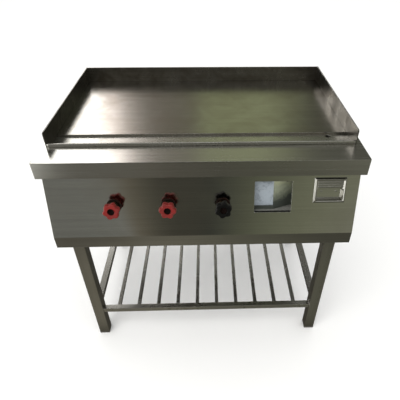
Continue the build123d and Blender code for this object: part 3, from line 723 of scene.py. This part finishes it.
def makeFootShade():
    # painted shade: a dark strip along the window's foot standing for the shadowed gap there: a squarish
    # section carried along a straight line
    boardLow, boardHigh = slopeBox("window_board")
    shieldHigh = slopeBox("window_shield")[1]
    level = slopeBox("control_panel")[1][2] - footShade["behind"]
    left, right = boardLow[0] + footShade["boardLap"], shieldHigh[0] - footShade["shieldLap"]
    along = np.linspace(0, 1, 60)
    turn = np.linspace(0, 2 * np.pi, 24, endpoint=False)
    end = (1 - np.abs(2 * along - 1) ** 40) ** 0.25
    squareC = np.sign(np.cos(turn)) * np.abs(np.cos(turn)) ** 0.4
    squareS = np.sign(np.sin(turn)) * np.abs(np.sin(turn)) ** 0.4
    x = (left + (right - left) * along)[:, None] + 0 * turn[None, :]
    ripple = 1 + 0.06 * np.sin(along * 34.0)
    place = boardHigh[1] + footShade["belowBoard"] - 0.0014
    s = place + footShade["halfWidth"] * (end * ripple)[:, None] * squareC[None, :]
    h = level + footShade["halfDepth"] * end[:, None] * squareS[None, :]
    ringPiece("window_foot_shade", onSlope(x, s, h), footShadeFinish, "frame")


makeFootShade()
print("window seal made")

weld = {"radius": 0.0018, "ripple": 0.16, "waves": 46, "steps": 220}


def makeWeld(name, centre, halfA, halfB, sideA, sideB):
    # a rippled bead round a square tube's end: a small circle carried round a squarish loop
    loop = np.linspace(0, 2 * np.pi, weld["steps"], endpoint=False)
    turn = np.linspace(0, 2 * np.pi, 8, endpoint=False)
    a = np.sign(np.cos(loop)) * np.abs(np.cos(loop)) ** 0.25
    b = np.sign(np.sin(loop)) * np.abs(np.sin(loop)) ** 0.25
    a, b = a[:, None, None] * np.array(sideA), b[:, None, None] * np.array(sideB)
    path = np.array(centre) + halfA * a + halfB * b
    outward = np.cos(loop)[:, None, None] * np.array(sideA) + np.sin(loop)[:, None, None] * np.array(sideB)
    axis = np.cross(sideA, sideB)
    thickness = weld["radius"] * (1 + weld["ripple"] * np.sin(weld["waves"] * loop))[:, None, None]
    rings = path + thickness * (np.cos(turn)[None, :, None] * outward + np.sin(turn)[None, :, None] * axis)
    ringPiece(name, rings, weldSteel, "frame", loop=True)


def makeWelds():
    sides, backs, ups = (1, 0, 0), (0, 1, 0), (0, 0, 1)
    for place in ("front", "rear"):
        low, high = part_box(f"{place}_shelf_rail")
        mid = (low + high) / 2
        for side, x in (("left", low.x), ("right", high.x)):
            centre = (x, mid.y, mid.z)
            makeWeld(f"weld_{place}_{side}", centre, (high.y - low.y) / 2, (high.z - low.z) / 2, backs, ups)
    for side in ("left", "right"):
        low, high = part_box(f"{side}_shelf_rail")
        mid = (low + high) / 2
        for place, y in (("front", low.y), ("rear", high.y)):
            centre = (mid.x, y, mid.z)
            makeWeld(f"weld_{side}_{place}", centre, (high.x - low.x) / 2, (high.z - low.z) / 2, sides, ups)


meltedSteel = {**innerSteel, "dark": (0.16, 0.15, 0.13), "light": (0.30, 0.285, 0.25), "rough": 0.3}
weldSteel = steelFinish("weldSteel", meltedSteel)
makeWelds()
print("welds made")

screw = {"radius": 0.0045, "head": 0.0026, "slot": 0.0007, "inset": 0.012}


def makeScrews():
    # pan-head screws in two rows on the back panel: a low dome with six slight flats
    low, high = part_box("back_panel")
    turn = np.linspace(0, 2 * np.pi, 36, endpoint=False)
    profile = softened([
        (0.0003, 0.55), (0.28, 0.55), (0.34, 0.95), (0.62, 0.98),
        (0.92, 0.62), (1.0, 0.0), (0.3, -0.3), (0.0003, -0.3),
    ], 2)
    xs = np.linspace(low.x + screw["inset"], high.x - screw["inset"], 5)
    rows = (low.z + screw["inset"], high.z - screw["inset"])
    number = 0
    for z in rows:
        for x in xs:
            number += 1
            flats = 1 - 0.04 * (0.5 - 0.5 * np.cos(6 * turn))
            radius = screw["radius"] * profile[:, :1] * flats[None, :]
            proud = screw["head"] * profile[:, 1][:, None] + 0 * turn[None, :]
            rings = np.stack([x + radius * np.cos(turn), high.y + proud, z + radius * np.sin(turn)], -1)
            ringPiece(f"back_screw_{number}", rings, weldSteel, "frame")


makeScrews()
print("screws made")




# a pale floor and soft light, with a dim room for the steel to mirror
room = {
    "centre": (0.0, -0.283, 0.75),  # the room's directions are counted from here
    # behind the griddle, from the left to the right: a bright window, then plain walls
    "back": [
        (0.10, (0.10, 0.10, 0.09)), (0.22, (1.2, 1.15, 1.1)), (0.26, (4.4, 4.4, 4.3)),
        (0.335, (4.0, 3.9, 3.8)), (0.365, (2.6, 2.3, 2.2)),
        (0.385, (0.80, 0.73, 0.68)), (0.415, (0.30, 0.27, 0.23)), (0.47, (0.24, 0.225, 0.175)),
        (0.478, (0.24, 0.23, 0.175)), (0.495, (0.40, 0.435, 0.25)), (0.585, (0.41, 0.445, 0.26)),
        (0.620, (0.25, 0.265, 0.16)), (0.645, (0.12, 0.12, 0.09)), (0.70, (0.10, 0.10, 0.078)),
        (1.00, (0.10, 0.10, 0.085)),
    ],
    # in front of it, where the panel looks
    "front": [
        (0.00, (2.2, 2.2, 2.1)), (0.05, (1.8, 1.8, 1.7)), (0.12, (0.22, 0.22, 0.20)),
        (0.20, (0.20, 0.20, 0.185)), (0.30, (0.24, 0.245, 0.225)), (0.352, (0.29, 0.295, 0.275)),
        (0.360, (0.21, 0.18, 0.13)), (0.395, (0.135, 0.125, 0.096)), (0.404, (0.11, 0.105, 0.08)),
        (0.43, (0.070, 0.066, 0.052)), (0.474, (0.078, 0.075, 0.058)), (0.500, (0.058, 0.058, 0.048)),
        (0.530, (0.09, 0.095, 0.076)), (0.550, (0.12, 0.125, 0.088)), (0.62, (0.20, 0.21, 0.145)),
        (0.68, (0.25, 0.26, 0.18)), (0.80, (0.30, 0.30, 0.24)),
    ],
    "floorLeft": (0.15, 0.14, 0.115), "floorRight": (0.10, 0.098, 0.078),
    "floorBehind": (0.045, 0.042, 0.035),
    "nearGain": (1.5, 1.5, 1.45),
    "wallTop": (0.48, 0.47, 0.44),  # the wall in front, above eye height
    "highLeft": (0.60, 0.56, 0.51), "highRight": (0.16, 0.16, 0.15), "ceiling": (0.75, 0.75, 0.72),
}


def makeRoom():
    # colour of the dim room in a direction: across is x over depth, up is the height over depth
    group, start, end = newGroup(
        "dimRoom", [("Direction", "NodeSocketVector", (0, 0, 0))], [("Colour", "NodeSocketColor")]
    )
    unit = addNode(group, "ShaderNodeVectorMath", {"operation": "NORMALIZE"})
    group.links.new(start.outputs[0], unit.inputs[0])
    axes = addNode(group, "ShaderNodeSeparateXYZ")
    group.links.new(unit.outputs[0], axes.inputs[0])
    x, y, z = axes.outputs
    depth = mathNode(group, "MAXIMUM", mathNode(group, "ABSOLUTE", y), 0.05)
    across = mathNode(group, "MULTIPLY_ADD", mathNode(group, "DIVIDE", x, depth), 0.5, 0.5)
    back = colourRamp(group, across, room["back"])
    front = colourRamp(group, across, room["front"])
    around = mixColour(group, spread(group, y, -0.05, 0.05), front, back)
    floor = mixColour(group, spread(group, x, -0.4, 0.3), room["floorLeft"], room["floorRight"])
    floor = mixColour(group, spread(group, y, -0.02, 0.10), floor, room["floorBehind"])
    lit = mixColour(group, 1.0, floor, room["nearGain"], "MULTIPLY")
    near = mixColour(group, spread(group, z, -0.62, -0.76), floor, lit)
    low = mixColour(group, spread(group, z, -0.30, -0.50), around, near)
    inFront = mathNode(group, "MULTIPLY", spread(group, z, 0.30, 0.45), spread(group, y, 0.0, -0.15))
    walls = mixColour(group, inFront, low, room["wallTop"])
    high = mixColour(group, spread(group, x, -0.42, -0.20), room["highLeft"], room["highRight"])
    upper = mixColour(group, spread(group, z, 0.60, 0.68), walls, high)
    whole = mixColour(group, spread(group, z, 0.86, 0.95), upper, room["ceiling"])
    group.links.new(whole, end.inputs[0])
    return group


roomGroup = makeRoom()


def makeWorld():
    world = bpy.data.worlds.new("softStudio")
    bpy.context.scene.world = world
    world.use_nodes = True
    tree = world.node_tree
    tree.nodes.clear()
    sight = addNode(tree, "ShaderNodeLightPath")
    direction = addNode(tree, "ShaderNodeTexCoord")
    dim = useGroup(tree, roomGroup, {})
    tree.links.new(direction.outputs["Generated"], dim.inputs["Direction"])
    colour = mixColour(tree, sight.outputs["Is Glossy Ray"], (1.1, 1.1, 1.09), dim.outputs["Colour"])
    background = addNode(tree, "ShaderNodeBackground")
    tree.links.new(colour, background.inputs["Color"])
    output = addNode(tree, "ShaderNodeOutputWorld")
    tree.links.new(background.outputs[0], output.inputs["Surface"])


def makeFloor():
    reach = 12.0
    mesh = bpy.data.meshes.new("floor")
    corners = [(-reach, -reach, 0), (reach, -reach, 0), (reach, reach, 0), (-reach, reach, 0)]
    mesh.from_pydata(corners, [], [(0, 1, 2, 3)])
    floor = bpy.data.objects.new("floor", mesh)
    bpy.context.scene.collection.objects.link(floor)
    material, tree, shader = startMaterial("paleFloor")
    shader.inputs["Base Color"].default_value = (0.92, 0.92, 0.915, 1.0)
    shader.inputs["Roughness"].default_value = 0.9
    shader.inputs["Specular IOR Level"].default_value = 0.1
    sight = addNode(tree, "ShaderNodeLightPath")
    spot = addNode(tree, "ShaderNodeNewGeometry")
    away = addNode(tree, "ShaderNodeVectorMath", {"operation": "SUBTRACT"})
    tree.links.new(spot.outputs["Position"], away.inputs[0])
    away.inputs[1].default_value = room["centre"]
    dim = useGroup(tree, roomGroup, {})
    tree.links.new(away.outputs[0], dim.inputs["Direction"])
    glow = addNode(tree, "ShaderNodeEmission")
    tree.links.new(dim.outputs["Colour"], glow.inputs["Color"])
    choose = addNode(tree, "ShaderNodeMixShader")
    tree.links.new(sight.outputs["Is Glossy Ray"], choose.inputs[0])
    tree.links.new(shader.outputs[0], choose.inputs[1])
    tree.links.new(glow.outputs[0], choose.inputs[2])
    tree.links.new(choose.outputs[0], tree.nodes["Material Output"].inputs["Surface"])
    mesh.materials.append(material)


def softLight(name, light):
    lamp = bpy.data.lights.new(name, "AREA")
    lamp.shape = "RECTANGLE"
    lamp.size, lamp.size_y = light["size"]
    lamp.energy = light["power"]
    lamp.color = light["colour"]
    thing = bpy.data.objects.new(name, lamp)
    thing.location = light["place"]
    aim = Vector(light["aim"]) - Vector(light["place"])
    thing.rotation_euler = aim.to_track_quat("-Z", "Y").to_euler()
    thing.visible_glossy = False
    bpy.context.scene.collection.objects.link(thing)


makeWorld()
makeFloor()
keyLight = {
    "place": (-1.6, -2.2, 3.2), "aim": (0, 0, 0.5), "size": (2.4, 2.4),
    "power": 60, "colour": (1.0, 0.98, 0.95),
}
softLight("keyLight", keyLight)
print("studio ready")


eye = {
    "place": (0.0174, -1.1635, 1.4244), "down": 38.34, "turn": 2.18, "roll": 0.50,
    "lens": 34.93, "shift": (-0.0536, 0.0022),
}


def makeCamera():
    lens = bpy.data.cameras.new("eye")
    lens.lens = eye["lens"]
    lens.sensor_width = 36.0
    lens.shift_x, lens.shift_y = eye["shift"]
    camera = bpy.data.objects.new("eye", lens)
    bpy.context.scene.collection.objects.link(camera)
    turn = Matrix.Rotation(math.radians(-eye["turn"]), 4, "Z")
    tilt = Matrix.Rotation(math.radians(90 - eye["down"]), 4, "X")
    roll = Matrix.Rotation(math.radians(eye["roll"]), 4, "Z")
    camera.matrix_world = Matrix.Translation(eye["place"]) @ turn @ tilt @ roll
    bpy.context.scene.camera = camera


makeCamera()
bpy.context.scene.view_settings.view_transform = "Standard"

print("done")
